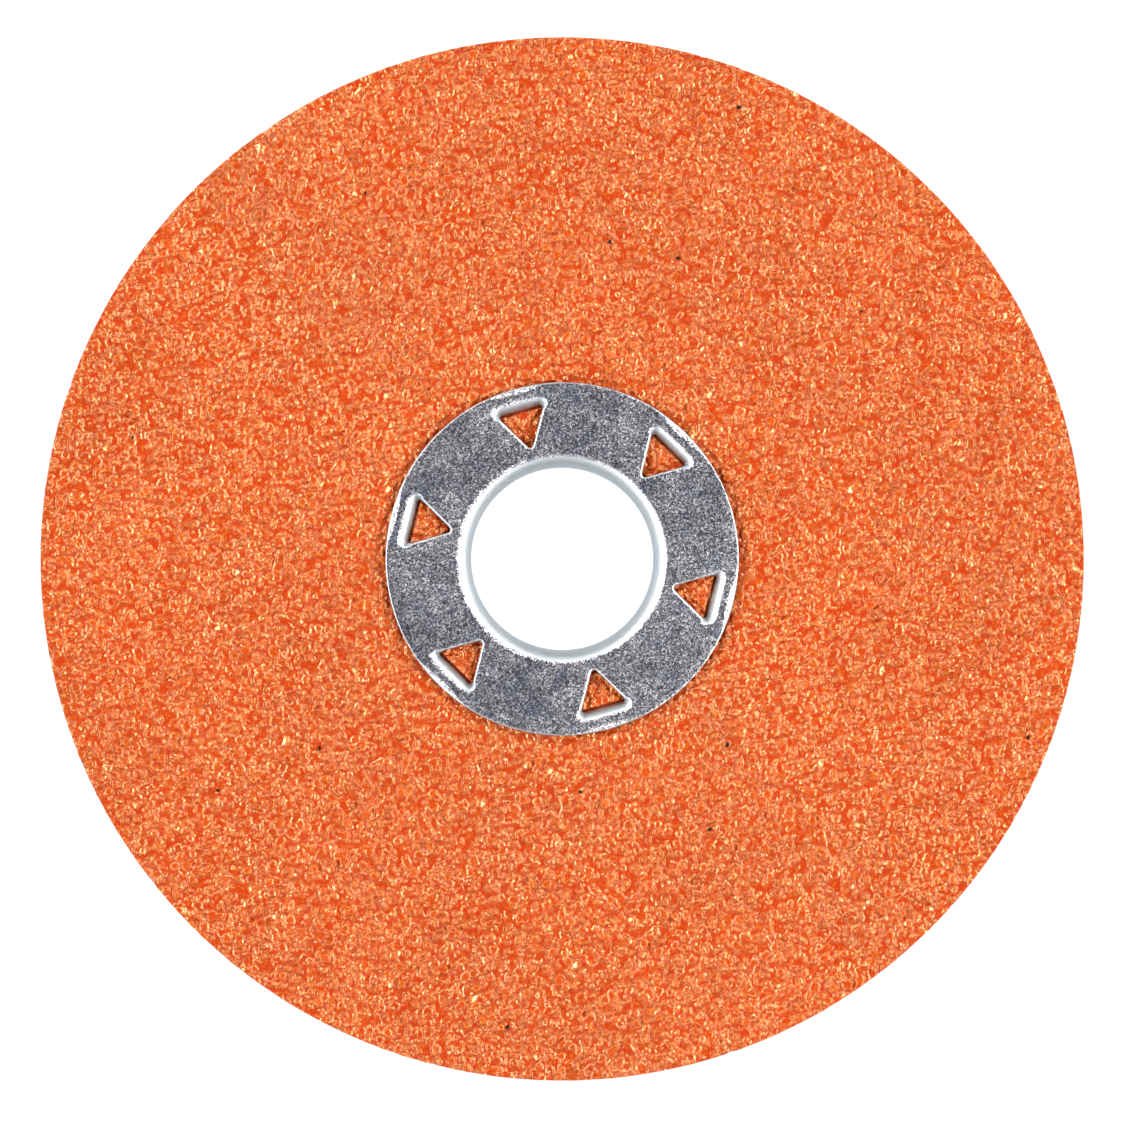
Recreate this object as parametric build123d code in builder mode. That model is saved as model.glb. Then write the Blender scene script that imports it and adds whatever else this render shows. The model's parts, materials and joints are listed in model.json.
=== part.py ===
# Coated abrasive shaping disc for an angle grinder: a fibre disc carrying resin-bonded grain,
# gripped between two pressed steel flanges whose rolled collar makes the arbor hole.
# Millimetres. The origin is on the arbor axis in the plane of the fibre's rear face,
# and +Z points out of the abrasive side.
import os
from math import cos, pi, radians, sin, tan

from build123d import *

# Coated disc
disc_diameter = 127.0  # 5 in
fibre_thickness = 0.84
make_thickness = 0.16  # resin that the grain is planted in
grain_thickness = 0.70
size_thickness = 0.15  # resin that locks the grain
supersize_thickness = 0.15  # glossy top coat
disc_hole_radius = 13.0

# Steel flanges
bore_radius = 11.11  # 7/8 in arbor hole
hub_diameter = 43.0
steel_thickness = 0.70
press_in = 0.06  # how deep each flange is squeezed into the laminate
press_margin = 0.25  # how far the squeezed ring reaches past a flange
rim_round = 0.20
roll_radius = 1.74  # front of the collar, on the sheet's outer side
curl_inner_radius = 0.50  # rear of the collar, on the sheet's inner side
curl_lip_radius = 13.9
rear_hole_gap = 0.05

# Teeth lanced from the front flange
tooth_count = 6
first_tooth_angle = 45.7  # degrees from +X
window_tip_radius = 13.75
window_half_angle = 30.0
window_corner = 0.30
hinge_radius = 20.10  # where a tooth starts to bend down
hinge_half_width = 3.30
bend_radius = 1.35  # on the sheet's outer side
clinch_inner_radius = 0.25
clinch_tip_radius = 21.40
slot_gap = 0.06
slit_gap = 0.25  # open slit in the coats in front of a tooth
facet_tilt = 16.0  # degrees, rim strip pulled down outside each tooth
facet_width = 0.78
facet_radius = 64.0

# Levels
make_bottom = fibre_thickness
grain_bottom = make_bottom + make_thickness
size_bottom = grain_bottom + grain_thickness
supersize_bottom = size_bottom + size_thickness
coat_top = supersize_bottom + supersize_thickness
front_bottom = coat_top - press_in
front_top = front_bottom + steel_thickness
rear_top = press_in
rear_bottom = rear_top - steel_thickness
clinch_bottom = rear_bottom - steel_thickness

# Radii that follow from the sheet
disc_radius = disc_diameter / 2
hub_radius = hub_diameter / 2
collar_outer = bore_radius + steel_thickness
roll_start = bore_radius + roll_radius
roll_level = front_top - roll_radius
curl_level = rear_bottom + curl_inner_radius
curl_radius = curl_inner_radius + steel_thickness
curl_start = collar_outer + curl_inner_radius
bend_inner_radius = bend_radius - steel_thickness
bend_level = front_top - bend_radius
tooth_face = hinge_radius - bend_radius
tooth_back = tooth_face + steel_thickness
clinch_start = tooth_back + clinch_inner_radius
clinch_level = rear_bottom + clinch_inner_radius
clinch_radius = clinch_inner_radius + steel_thickness
taper = tan(radians(window_half_angle))
window_side_end = window_tip_radius + hinge_half_width / taper


def tooth_half_width(z):
    """Half the tooth's width at a level: it narrows by the window's taper below the bend."""
    neutral_arc = pi / 2 * (bend_radius - steel_thickness / 2)
    cut_past_hinge = neutral_arc - (hinge_radius - window_side_end)
    return hinge_half_width - taper * (cut_past_hinge + bend_level - z)


bend_end_half_width = tooth_half_width(bend_level)
clinch_half_width = tooth_half_width(clinch_bottom)


def tooth_places():
    """Places of the teeth round the axis."""
    return PolarLocations(0, tooth_count, start_angle=first_tooth_angle)


def slot_cut(inner, outer, half_width, low, high):
    """Cuts one slot for each tooth out of the part being built."""
    with BuildSketch(Plane.XY.offset(low)) as slots:
        with tooth_places():
            with Locations(((inner + outer) / 2, 0)):
                Rectangle(outer - inner, 2 * half_width)
    extrude(slots.sketch, amount=high - low, mode=Mode.SUBTRACT)


def coat_ring(low, high):
    """Adds one coat as a flat ring with its tooth slots."""
    with BuildSketch(Plane.XY.offset(low)) as ring:
        Circle(disc_radius)
        Circle(disc_hole_radius, mode=Mode.SUBTRACT)
    extrude(ring.sketch, amount=high - low)
    slot_cut(
        tooth_face - slit_gap,
        hinge_radius + slot_gap,
        hinge_half_width + slot_gap,
        low,
        high,
    )


# Vulcanised fibre backing, squeezed thinner under the rear flange
with BuildPart() as fibre_backing:
    with BuildSketch():
        Circle(disc_radius)
        Circle(disc_hole_radius, mode=Mode.SUBTRACT)
    extrude(amount=fibre_thickness)
    with BuildSketch():
        Circle(hub_radius + press_margin)
    extrude(amount=press_in, mode=Mode.SUBTRACT)
    slot_cut(
        tooth_face - slot_gap,
        tooth_back + slot_gap,
        tooth_half_width(fibre_thickness) + slot_gap,
        0,
        fibre_thickness,
    )

# Resin and grain, coat by coat
with BuildPart() as make_coat:
    coat_ring(make_bottom, grain_bottom)

with BuildPart() as abrasive_grain:
    coat_ring(grain_bottom, size_bottom)

with BuildPart() as size_coat:
    coat_ring(size_bottom, supersize_bottom)

with BuildPart() as supersize_coat:
    coat_ring(supersize_bottom, coat_top)
    with BuildSketch(Plane.XY.offset(front_bottom)):
        Circle(hub_radius + press_margin)
    extrude(amount=press_in, mode=Mode.SUBTRACT)

# One tooth on the +X side: bent down at its root, driven through the disc and
# turned outwards over the rear flange. Its side view is one strip of even thickness.
with BuildPart() as tooth:
    with BuildSketch(Plane.XZ):
        with BuildLine():
            Line((hinge_radius, front_top), (hinge_radius, front_bottom))
            RadiusArc(
                (hinge_radius, front_bottom),
                (tooth_back, bend_level),
                -bend_inner_radius,
            )
            Line((tooth_back, bend_level), (tooth_back, clinch_level))
            RadiusArc(
                (tooth_back, clinch_level),
                (clinch_start, rear_bottom),
                -clinch_inner_radius,
            )
            Line((clinch_start, rear_bottom), (clinch_start, clinch_bottom))
            RadiusArc(
                (clinch_start, clinch_bottom),
                (tooth_face, clinch_level),
                clinch_radius,
            )
            Line((tooth_face, clinch_level), (tooth_face, bend_level))
            RadiusArc(
                (tooth_face, bend_level), (hinge_radius, front_top), bend_radius
            )
        make_face()
    extrude(amount=hinge_half_width, both=True)
    # the sides taper towards the tip
    with BuildSketch(Plane.YZ):
        Polygon(
            (-hinge_half_width, front_top),
            (-bend_end_half_width, bend_level),
            (-clinch_half_width, clinch_bottom),
            (clinch_half_width, clinch_bottom),
            (bend_end_half_width, bend_level),
            (hinge_half_width, front_top),
            align=None,
        )
    extrude(amount=hub_diameter, mode=Mode.INTERSECT)
    # the flat tip under the rear flange
    with BuildSketch(Plane.XY.offset(clinch_bottom)):
        with BuildLine():
            tip_line = Polyline(
                (clinch_start, -clinch_half_width),
                (clinch_start, clinch_half_width),
                (clinch_tip_radius - window_corner, window_corner),
            )
            tip_round = ThreePointArc(
                tip_line @ 1,
                (clinch_tip_radius, 0),
                (clinch_tip_radius - window_corner, -window_corner),
            )
            Line(tip_round @ 1, tip_line @ 0)
        make_face()
    extrude(amount=steel_thickness)

# Tool shape that leaves the rim strip outside a tooth pulled down: a shallow round
# trough, tilted outwards, that meets the flange's top in a curved line
facet_slope = radians(facet_tilt)
facet_out = Vector(cos(facet_slope), 0, -sin(facet_slope))
facet_up = Vector(sin(facet_slope), 0, cos(facet_slope))
facet_start = Vector(hub_radius - facet_width, 0, front_top)
with BuildPart() as rim_facet:
    with BuildSketch(Plane(facet_start + facet_up * facet_radius, z_dir=facet_out)):
        Circle(facet_radius)
    extrude(amount=4 * facet_width)

# Opening left by a tooth, from its tip to its hinge
with BuildSketch() as window:
    with BuildLine():
        Polyline(
            (window_tip_radius, 0),
            (window_side_end, hinge_half_width),
            (hinge_radius, hinge_half_width),
            (hinge_radius, -hinge_half_width),
            (window_side_end, -hinge_half_width),
            close=True,
        )
    make_face()
    fillet(window.vertices().sort_by(Axis.X)[0], window_corner)

# Front flange, collar and teeth pressed from one sheet
with BuildPart() as front_flange:
    with BuildSketch(Plane.XZ):
        with BuildLine():
            Line((roll_start, front_top), (hub_radius, front_top))
            Line((hub_radius, front_top), (hub_radius, front_bottom))
            Line((hub_radius, front_bottom), (roll_start, front_bottom))
            RadiusArc(
                (roll_start, front_bottom),
                (collar_outer, roll_level),
                -(roll_radius - steel_thickness),
            )
            Line((collar_outer, roll_level), (collar_outer, curl_level))
            RadiusArc(
                (collar_outer, curl_level),
                (curl_start, rear_bottom),
                -curl_inner_radius,
            )
            Line((curl_start, rear_bottom), (curl_lip_radius, rear_bottom))
            Line((curl_lip_radius, rear_bottom), (curl_lip_radius, clinch_bottom))
            Line((curl_lip_radius, clinch_bottom), (curl_start, clinch_bottom))
            RadiusArc((curl_start, clinch_bottom), (bore_radius, curl_level), curl_radius)
            Line((bore_radius, curl_level), (bore_radius, roll_level))
            RadiusArc((bore_radius, roll_level), (roll_start, front_top), roll_radius)
        make_face()
    revolve(axis=Axis.Z)
    rims = front_flange.edges().filter_by(GeomType.CIRCLE).group_by(Axis.Z)[-1]
    fillet(rims.sort_by(SortBy.LENGTH)[-1], rim_round)
    with tooth_places():
        add(rim_facet.part, mode=Mode.SUBTRACT)
    with BuildSketch(Plane.XY.offset(front_bottom)):
        with tooth_places():
            add(window.sketch)
    extrude(amount=steel_thickness, mode=Mode.SUBTRACT)
    with tooth_places():
        add(tooth.part)

# Rear flange, held by the collar's curl and the turned teeth
with BuildPart() as rear_flange:
    with BuildSketch(Plane.XY.offset(rear_bottom)):
        Circle(hub_radius)
        Circle(curl_start + rear_hole_gap, mode=Mode.SUBTRACT)
    extrude(amount=steel_thickness)
    rear_rims = rear_flange.edges().filter_by(GeomType.CIRCLE).group_by(Axis.Z)[0]
    fillet(rear_rims.sort_by(SortBy.LENGTH)[-1], rim_round)
    slot_cut(
        tooth_face - slot_gap,
        clinch_start + slot_gap,
        tooth_half_width(rear_top) + slot_gap,
        rear_bottom,
        rear_top,
    )

finished = {
    "fibre_backing": fibre_backing,
    "make_coat": make_coat,
    "abrasive_grain": abrasive_grain,
    "size_coat": size_coat,
    "supersize_coat": supersize_coat,
    "front_flange": front_flange,
    "rear_flange": rear_flange,
}
os.makedirs("parts", exist_ok=True)
for label, piece in finished.items():
    piece.part.label = label
    export_step(piece.part, f"parts/{label}.step")
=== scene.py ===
import json
import math

import bmesh
import bpy
import numpy as np
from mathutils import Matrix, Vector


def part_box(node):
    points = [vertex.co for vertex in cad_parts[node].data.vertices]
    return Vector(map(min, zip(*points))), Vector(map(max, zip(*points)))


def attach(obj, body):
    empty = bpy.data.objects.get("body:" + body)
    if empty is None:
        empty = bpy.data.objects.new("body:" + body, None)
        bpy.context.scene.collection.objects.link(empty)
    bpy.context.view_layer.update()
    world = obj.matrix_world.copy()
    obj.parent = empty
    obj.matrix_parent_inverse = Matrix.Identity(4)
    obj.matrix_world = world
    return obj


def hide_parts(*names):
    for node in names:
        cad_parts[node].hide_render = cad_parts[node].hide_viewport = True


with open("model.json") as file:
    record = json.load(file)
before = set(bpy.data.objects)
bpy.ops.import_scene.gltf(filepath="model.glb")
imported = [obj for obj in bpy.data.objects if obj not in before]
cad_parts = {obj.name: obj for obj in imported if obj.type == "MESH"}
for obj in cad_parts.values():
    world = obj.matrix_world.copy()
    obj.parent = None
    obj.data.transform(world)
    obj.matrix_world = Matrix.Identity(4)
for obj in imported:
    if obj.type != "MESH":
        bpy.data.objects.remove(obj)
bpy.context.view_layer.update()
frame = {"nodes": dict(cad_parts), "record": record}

# Lengths below are in millimetres, and meshes are written in metres.
perMetre = 1000.0
steelThickness = 0.70


def level(node, end):
    # lowest (end 0) or highest (end 1) z of a CAD node, in mm
    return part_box(node)[end].z * perMetre


def mountNamed(name):
    return next(m for m in frame["record"]["mounts"] if m["name"] == name)


sheet = {
    "discRadius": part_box("fibre_backing")[1].x * perMetre,
    "hubRadius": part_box("front_flange")[1].x * perMetre,
    "boreRadius": mountNamed("arbor_bore")["dims"]["r_mm"],
    "makeTop": level("make_coat", 1),
    "coatTop": level("supersize_coat", 1),
    "flangeTop": level("front_flange", 1),
    "flangeBottom": level("front_flange", 1) - steelThickness,
    "lowest": level("front_flange", 0),
}


def newMaterial(name):
    # an empty material with one Principled shader wired to its output
    material = bpy.data.materials.new(name)
    material.use_nodes = True
    tree = material.node_tree
    tree.nodes.clear()
    out = tree.nodes.new("ShaderNodeOutputMaterial")
    shader = tree.nodes.new("ShaderNodeBsdfPrincipled")
    tree.links.new(shader.outputs["BSDF"], out.inputs["Surface"])
    return material, tree, shader


def wire(tree, source, target):
    # joins an output to an input, or sets a plain value on the input
    if isinstance(source, bpy.types.NodeSocket):
        tree.links.new(source, target)
    else:
        target.default_value = source


def place(tree, scale=(1, 1, 1)):
    # object coordinates in millimetres times scale
    where = tree.nodes.new("ShaderNodeTexCoord")
    mapping = tree.nodes.new("ShaderNodeMapping")
    mapping.inputs["Scale"].default_value = [perMetre * s for s in scale]
    tree.links.new(where.outputs["Object"], mapping.inputs["Vector"])
    return mapping.outputs["Vector"]


def noise(tree, where, size, detail=3.0, roughness=0.5, distortion=0.0):
    # smooth noise whose lumps are about size mm across
    node = tree.nodes.new("ShaderNodeTexNoise")
    tree.links.new(where, node.inputs["Vector"])
    node.inputs["Scale"].default_value = 1.0 / size
    node.inputs["Detail"].default_value = detail
    node.inputs["Roughness"].default_value = roughness
    node.inputs["Distortion"].default_value = distortion
    return node.outputs["Fac"]


def ramp(tree, fac, stops):
    # colours (or greys, given as one number) at places from 0 to 1
    node = tree.nodes.new("ShaderNodeValToRGB")
    elements = node.color_ramp.elements
    while len(elements) < len(stops):
        elements.new(0.5)
    for element, (at, colour) in zip(elements, stops):
        element.position = at
        element.color = (colour,) * 3 + (1,) if isinstance(colour, (int, float)) else (*colour, 1)
    tree.links.new(fac, node.inputs["Fac"])
    return node.outputs["Color"]


def mix(tree, kind, fac, a, b):
    # two colours blended in the given way, by the share fac
    node = tree.nodes.new("ShaderNodeMix")
    node.data_type = "RGBA"
    node.blend_type = kind
    wire(tree, fac, node.inputs["Factor"])
    for socket, value in ((node.inputs["A"], a), (node.inputs["B"], b)):
        wire(tree, value if isinstance(value, bpy.types.NodeSocket) else (*value, 1), socket)
    return node.outputs["Result"]


def maths(tree, operation, *values):
    node = tree.nodes.new("ShaderNodeMath")
    node.operation = operation
    for value, socket in zip(values, node.inputs):
        wire(tree, value, socket)
    return node.outputs[0]


def bump(tree, height, depth, normal=None):
    # height from 0 to 1 stands for depth in mm
    node = tree.nodes.new("ShaderNodeBump")
    node.inputs["Strength"].default_value = 1.0
    node.inputs["Distance"].default_value = depth / perMetre
    tree.links.new(height, node.inputs["Height"])
    if normal is not None:
        tree.links.new(normal, node.inputs["Normal"])
    return node.outputs["Normal"]


def attribute(tree, name):
    # a mark that the mesh carries at its points
    node = tree.nodes.new("ShaderNodeAttribute")
    node.attribute_name = name
    return node.outputs["Fac"]


resinLook = {
    "valley": (0.276, 0.016, 0.0006),
    "slope": (0.284, 0.020, 0.0006),
    "top": (0.290, 0.026, 0.001),
    "thin": (0.35, 0.110, 0.012),
    "thinAtFlecks": 0.50,        # share of the thin colour in flecks and along edges
    "thinAtEdges": 0.15,
    "crease": (0.86, 0.72, 0.65),                          # painted shade: multiplies the colour in creases to darken them
    "tones": ((0.86, 0.80, 0.80), (1.08, 1.25, 1.28)),     # of the deepest and the palest grains
    "drift": ((0.94, 0.92, 0.92), (1.05, 1.07, 1.07)),     # from one area to another
    "driftSize": 22.0,
    "glossTint": (1.0, 0.82, 0.40, 1.0),
    "roughness": (0.05, 0.10),
    "ripple": 0.004,             # mm
    "ior": 1.85,
}
white = (1.0, 1.0, 1.0)


def resinMaterial():
    # glossy resin over grain: deeper red where it lies thick, paler and yellower in flecks and
    # where it is thin over an edge, and darkened in its creases by painted shade
    look = resinLook
    material, tree, shader = newMaterial("supersizeResin")
    where = place(tree)
    heights = [(0.0, look["valley"]), (0.45, look["slope"]), (0.9, look["top"])]
    base = ramp(tree, attribute(tree, "lift"), heights)
    edge = ramp(tree, attribute(tree, "convex"), [(0.50, 0.0), (0.85, 1.0)])
    fleck = ramp(tree, noise(tree, where, 0.34, 3.0, 0.6, 0.5), [(0.52, 0.0), (0.60, 1.0)])
    thin = maths(tree, "MULTIPLY", edge, look["thinAtEdges"])
    thin = maths(tree, "MULTIPLY_ADD", fleck, look["thinAtFlecks"], thin)
    colour = mix(tree, "MIX", thin, base, look["thin"])
    # painted shade: the colour is darkened where the surface is concave, and in the slits at the teeth
    crease = ramp(tree, attribute(tree, "convex"), [(0.12, look["crease"]), (0.42, white)])
    colour = mix(tree, "MULTIPLY", 1.0, colour, crease)
    deepest, palest = look["tones"]
    tones = ramp(tree, attribute(tree, "tone"), [(0.0, deepest), (0.5, white), (1.0, palest)])
    colour = mix(tree, "MULTIPLY", 1.0, colour, tones)
    deeper, paler = look["drift"]
    drift = ramp(tree, noise(tree, where, look["driftSize"], 2.0), [(0.3, deeper), (0.7, paler)])
    colour = mix(tree, "MULTIPLY", 1.0, colour, drift)
    wire(tree, colour, shader.inputs["Base Color"])
    glossy, duller = look["roughness"]
    gloss = ramp(tree, noise(tree, where, 0.5, 2.0), [(0.3, glossy), (0.8, duller)])
    wire(tree, gloss, shader.inputs["Roughness"])
    ripple = bump(tree, noise(tree, where, 0.30, 2.0, 0.5), look["ripple"])
    wire(tree, ripple, shader.inputs["Normal"])
    shader.inputs["IOR"].default_value = look["ior"]
    shader.inputs["Specular Tint"].default_value = look["glossTint"]
    return material


zincLook = {
    "pale": (0.80, 0.80, 0.83),
    "mid": (0.34, 0.335, 0.355),
    "dim": (0.20, 0.195, 0.22),
    "dark": (0.045, 0.045, 0.06),
    "warm": (0.35, 0.29, 0.265),
    "cool": (0.20, 0.24, 0.37),
    # painted reflection: flat tints for bent places and steep walls, set by slope for how bright and blue
    # they look
    "bent": (0.40, 0.43, 0.45),
    "steep": (0.37, 0.42, 0.455),
    "dimPatch": (0.74, 0.75, 0.79),
    "lightPatch": (1.24, 1.22, 1.20),
    "patchSize": 7.0,
    "roughness": (0.19, 0.34),   # of the dark and the pale crystals
    "bentRoughness": 0.20,       # added where the sheet is bent
    "grain": 0.13,               # mm, the plating's crystals
    "crystalTilt": 0.30,         # how far they lean, as a slope
    "speckle": (0.34, 0.46, 0.20),      # shares of the crystals, clumps of them and wider spots
    "clumpSize": 0.34,
    "spotSize": 1.7,
    "waves": 0.02,               # mm, left by the press
}


def zincMaterial():
    # plated steel: leaning crystals give a fine speckle, with blue and brown drifts, larger dim
    # and light patches and shallow press waves; where the sheet is bent the plating is smooth, and
    # there it takes flat tints chosen by slope, a painted reflection: grey at bends, bluer on steep walls
    look = zincLook
    material, tree, shader = newMaterial("zincSteel")
    where = place(tree)
    bent = ramp(tree, attribute(tree, "tilt"), [(0.27, 0.0), (0.35, 1.0)])
    steep = ramp(tree, attribute(tree, "tilt"), [(0.54, 0.0), (0.72, 1.0)])
    crystals = tree.nodes.new("ShaderNodeTexVoronoi")
    crystals.inputs["Scale"].default_value = 1 / look["grain"]
    tree.links.new(where, crystals.inputs["Vector"])
    split = tree.nodes.new("ShaderNodeSeparateColor")
    tree.links.new(crystals.outputs["Color"], split.inputs["Color"])
    clumps = noise(tree, where, look["clumpSize"], 4.0, 0.7)
    spots = noise(tree, where, look["spotSize"], 3.0, 0.6)
    crystalShare, clumpShare, spotShare = look["speckle"]
    speckle = maths(tree, "MULTIPLY", clumps, clumpShare)
    speckle = maths(tree, "MULTIPLY_ADD", split.outputs["Red"], crystalShare, speckle)
    speckle = maths(tree, "MULTIPLY_ADD", spots, spotShare, speckle)
    greys = [(0.24, look["dark"]), (0.38, look["dim"]), (0.52, look["mid"]), (0.74, look["pale"])]
    tint = ramp(tree, speckle, greys)
    spark = ramp(tree, split.outputs["Green"], [(0.93, 0.0), (0.95, 1.0)])
    tint = mix(tree, "MIX", spark, tint, look["pale"])
    warm = ramp(tree, noise(tree, where, 0.6, 3.0, 0.6), [(0.54, 0.0), (0.70, 0.5)])
    tint = mix(tree, "MIX", warm, tint, look["warm"])
    cool = ramp(tree, noise(tree, place(tree, (1, 1, 1.3)), 2.2, 5.0, 0.7), [(0.52, 0.0), (0.68, 0.5)])
    tint = mix(tree, "MIX", cool, tint, look["cool"])
    patches = noise(tree, where, look["patchSize"], 3.0)
    patches = ramp(tree, patches, [(0.36, look["dimPatch"]), (0.64, look["lightPatch"])])
    tint = mix(tree, "MULTIPLY", 1.0, tint, patches)
    # painted reflection: bends and steep walls get flat tints by slope in place of the speckle
    smooth = mix(tree, "MIX", steep, look["bent"], look["steep"])
    tint = mix(tree, "MIX", bent, tint, smooth)
    wire(tree, tint, shader.inputs["Base Color"])
    shader.inputs["Metallic"].default_value = 1.0
    darkRough, paleRough = look["roughness"]
    rough = ramp(tree, speckle, [(0.3, darkRough), (0.7, paleRough)])
    rough = maths(tree, "MULTIPLY_ADD", bent, look["bentRoughness"], rough)
    wire(tree, rough, shader.inputs["Roughness"])
    # each crystal's normal is the surface's own plus a small random vector, except at bends
    face = tree.nodes.new("ShaderNodeNewGeometry")
    leaning = tree.nodes.new("ShaderNodeVectorMath")
    leaning.operation = "SUBTRACT"
    tree.links.new(crystals.outputs["Color"], leaning.inputs[0])
    leaning.inputs[1].default_value = (0.5, 0.5, 0.5)
    scaled = tree.nodes.new("ShaderNodeVectorMath")
    scaled.operation = "MULTIPLY_ADD"
    tree.links.new(leaning.outputs["Vector"], scaled.inputs[0])
    lean = maths(tree, "MULTIPLY_ADD", bent, -look["crystalTilt"], look["crystalTilt"])
    wire(tree, lean, scaled.inputs[1])
    tree.links.new(face.outputs["Normal"], scaled.inputs[2])
    unit = tree.nodes.new("ShaderNodeVectorMath")
    unit.operation = "NORMALIZE"
    tree.links.new(scaled.outputs["Vector"], unit.inputs[0])
    waves = bump(tree, noise(tree, where, 2.5, 2.0), look["waves"], unit.outputs["Vector"])
    wire(tree, waves, shader.inputs["Normal"])
    return material


fibreLook = {
    "dark": (0.085, 0.022, 0.016),
    "light": (0.15, 0.042, 0.028),
    "blotch": ((0.8, 0.8, 0.8), (1.15, 1.1, 1.1)),
    "roughness": (0.42, 0.60),
    "streakDepth": 0.03,         # mm
}


def fibreMaterial():
    # vulcanised fibre: oxblood, faintly streaked along its rolling direction, with wide blotches
    look = fibreLook
    material, tree, shader = newMaterial("vulcanisedFibre")
    streaks = noise(tree, place(tree, (0.12, 1.0, 1.0)), 0.5, 4.0, 0.6)
    base = ramp(tree, streaks, [(0.3, look["dark"]), (0.7, look["light"])])
    darker, lighter = look["blotch"]
    blotch = noise(tree, place(tree), 6.0, 4.0, 0.55)
    shade = ramp(tree, blotch, [(0.3, darker), (0.7, lighter)])
    wire(tree, mix(tree, "MULTIPLY", 1.0, base, shade), shader.inputs["Base Color"])
    smoother, rougher = look["roughness"]
    rough = ramp(tree, streaks, [(0.3, smoother), (0.7, rougher)])
    wire(tree, rough, shader.inputs["Roughness"])
    wire(tree, bump(tree, streaks, look["streakDepth"]), shader.inputs["Normal"])
    return material


bondLook = {
    "resin": (0.30, 0.035, 0.012),
    "between": (0.55, 0.10, 0.03),
    "grain": (0.62, 0.22, 0.10),
    "grainsPerMm": 1.1,
    "roughness": (0.35, 0.60),
    "pits": 0.05,                # mm deep
}


def bondMaterial():
    # cut resin and grain seen end on: cells of three colours with a pitted surface
    look = bondLook
    material, tree, shader = newMaterial("bondedGrain")
    where = place(tree)
    cells = tree.nodes.new("ShaderNodeTexVoronoi")
    cells.inputs["Scale"].default_value = look["grainsPerMm"]
    tree.links.new(where, cells.inputs["Vector"])
    colours = [(0.2, look["resin"]), (0.5, look["between"]), (0.8, look["grain"])]
    wire(tree, ramp(tree, cells.outputs["Color"], colours), shader.inputs["Base Color"])
    smoother, rougher = look["roughness"]
    rough = ramp(tree, noise(tree, where, 0.4), [(0.3, smoother), (0.7, rougher)])
    wire(tree, rough, shader.inputs["Roughness"])
    pits = bump(tree, noise(tree, where, 0.3, 3.0), look["pits"])
    wire(tree, pits, shader.inputs["Normal"])
    return material


gritLook = {
    "dark": (0.003, 0.002, 0.002),
    "light": (0.014, 0.006, 0.006),
    "roughness": 0.7,
    "shine": 0.1,
}


def gritMaterial():
    # nearly black and dull, faintly mottled
    look = gritLook
    material, tree, shader = newMaterial("darkGrit")
    mottle = noise(tree, place(tree), 0.2)
    wire(tree, ramp(tree, mottle, [(0.3, look["dark"]), (0.7, look["light"])]),
         shader.inputs["Base Color"])
    shader.inputs["Roughness"].default_value = look["roughness"]
    shader.inputs["Specular IOR Level"].default_value = look["shine"]
    return material


def gridFaces(rows, columns, closed=False):
    # quads between the neighbouring points of a rows x columns grid; closed joins the last
    # column to the first
    ids = np.arange(rows * columns).reshape(rows, columns)
    if closed:
        ids = np.concatenate([ids, ids[:, :1]], 1)
    return np.stack([ids[:-1, :-1], ids[:-1, 1:], ids[1:, 1:], ids[1:, :-1]], -1).reshape(-1, 4)


def makePiece(name, points, quads, material, smooth=True, normals=None, marks=None):
    # points in mm, quads as rows of four indices; marks are named values, one for each point
    mesh = bpy.data.meshes.new(name)
    mesh.vertices.add(len(points))
    mesh.vertices.foreach_set("co", (points / perMetre).astype(np.float32).ravel())
    mesh.loops.add(quads.size)
    mesh.loops.foreach_set("vertex_index", quads.astype(np.int32).ravel())
    mesh.polygons.add(len(quads))
    mesh.polygons.foreach_set("loop_start", np.arange(0, quads.size, 4, dtype=np.int32))
    mesh.polygons.foreach_set("use_smooth", np.full(len(quads), smooth))
    mesh.update(calc_edges=True)
    for markName, values in (marks or {}).items():
        layer = mesh.attributes.new(markName, "FLOAT", "POINT")
        layer.data.foreach_set("value", values.astype(np.float32).ravel())
    if normals is not None:
        mesh.normals_split_custom_set_from_vertices(normals.astype(np.float32))
    mesh.materials.append(material)
    piece = bpy.data.objects.new(name, mesh)
    bpy.context.scene.collection.objects.link(piece)
    return piece


def joinSeams(piece):
    # joins points that lie on each other, then turns every face outwards
    work = bmesh.new()
    work.from_mesh(piece.data)
    bmesh.ops.remove_doubles(work, verts=work.verts, dist=0.002 / perMetre)
    bmesh.ops.recalc_face_normals(work, faces=work.faces)
    work.to_mesh(piece.data)
    work.free()


def markTilt(piece):
    # the mark tilt is the angle of the surface at each point over 90 degrees: 0 for level, 1 for
    # upright
    mesh = piece.data
    facing = np.empty(3 * len(mesh.vertices), np.float32)
    mesh.vertex_normals.foreach_get("vector", facing)
    tilt = 2 / math.pi * np.arccos(np.clip(np.abs(facing[2::3]), 0, 1))
    mesh.attributes.new("tilt", "FLOAT", "POINT").data.foreach_set("value", tilt)


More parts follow.
